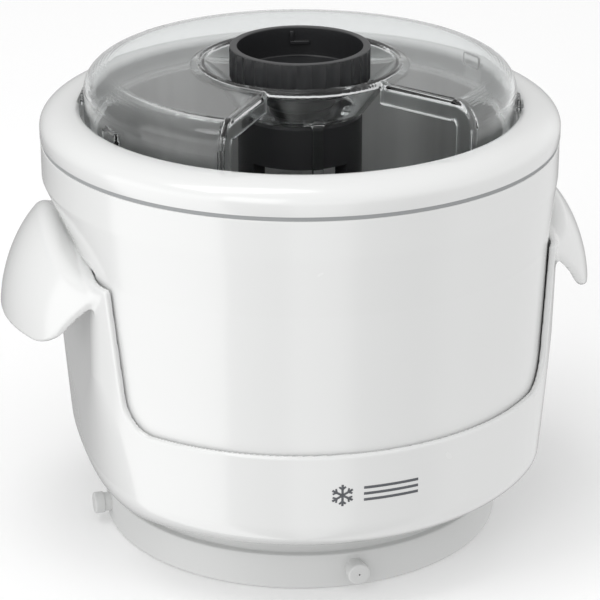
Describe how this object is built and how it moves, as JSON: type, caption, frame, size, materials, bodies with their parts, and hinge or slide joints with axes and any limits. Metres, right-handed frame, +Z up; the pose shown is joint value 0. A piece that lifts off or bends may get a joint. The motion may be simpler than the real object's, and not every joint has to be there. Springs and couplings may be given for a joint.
{
  "type": "ice cream maker bowl attachment",
  "caption": "Freezer-bowl ice cream attachment for a stand mixer: grip housing, double-walled bowl, clear domed lid with funnel, drive cup and lift-out stirrer.",
  "frame": {"origin": "centre of the base ring's bottom edge, on the bowl's axis, at the surface the part stands on", "axes": "+X towards one grip, +Y towards the back, +Z up along the bowl's axis"},
  "size_m": [0.2476, 0.2104, 0.2015],
  "materials": {
    "white_plastic": "glossy white moulded plastic",
    "base_plastic": "satin off-white moulded plastic",
    "grey_plastic": "plain grey inner moulding",
    "black_plastic": "satin black moulded plastic",
    "bush_plastic": "natural bearing plastic",
    "clear_plastic": "clear polished plastic",
    "seal_rubber": "soft grey sealing rubber",
    "liner_steel": "circumferentially brushed stainless steel",
    "screw_steel": "plain zinc-plated steel",
    "foam": "rigid foam, sealed inside",
    "gel": "frozen coolant gel, sealed inside"
  },
  "bodies": {
    "root": {"housing": "white_plastic", "base_ring": "base_plastic", "bottom_cover": "base_plastic", "base_screws": "screw_steel", "housing_screws": "screw_steel", "bowl_shell": "white_plastic", "insulation": "foam", "coolant_jacket": "grey_plastic", "coolant_gel": "gel", "fill_plug": "seal_rubber", "bowl_liner": "liner_steel", "pivot_pin": "liner_steel", "liner_seal": "seal_rubber", "rim_gasket": "seal_rubber", "rim_ring": "white_plastic"},
    "lid": {"lid": "clear_plastic"},
    "stirrer": {"stirrer_hub": "black_plastic", "paddle": "black_plastic", "scraper_lips": "seal_rubber", "pivot_bush": "bush_plastic"},
    "drive": {"drive_cup": "black_plastic", "coupling_hex": "black_plastic"}
  },
  "joints": [
    {"name": "lid_lift", "type": "slide", "parent": "root", "child": "lid", "axis": [0, 0, 1], "range_m": [0, 0.12]},
    {"name": "stirrer_spin", "type": "hinge", "parent": "root", "child": "stirrer", "pos_m": [0, 0, 0.06], "axis": [0, 0, 1], "continuous": true},
    {"name": "drive_spin", "type": "hinge", "parent": "lid", "child": "drive", "pos_m": [0, 0, 0.19], "axis": [0, 0, 1], "continuous": true}
  ],
  "couplings": [
    {"joint": "drive_spin", "follows": "stirrer_spin", "ratio": 1}
  ]
}
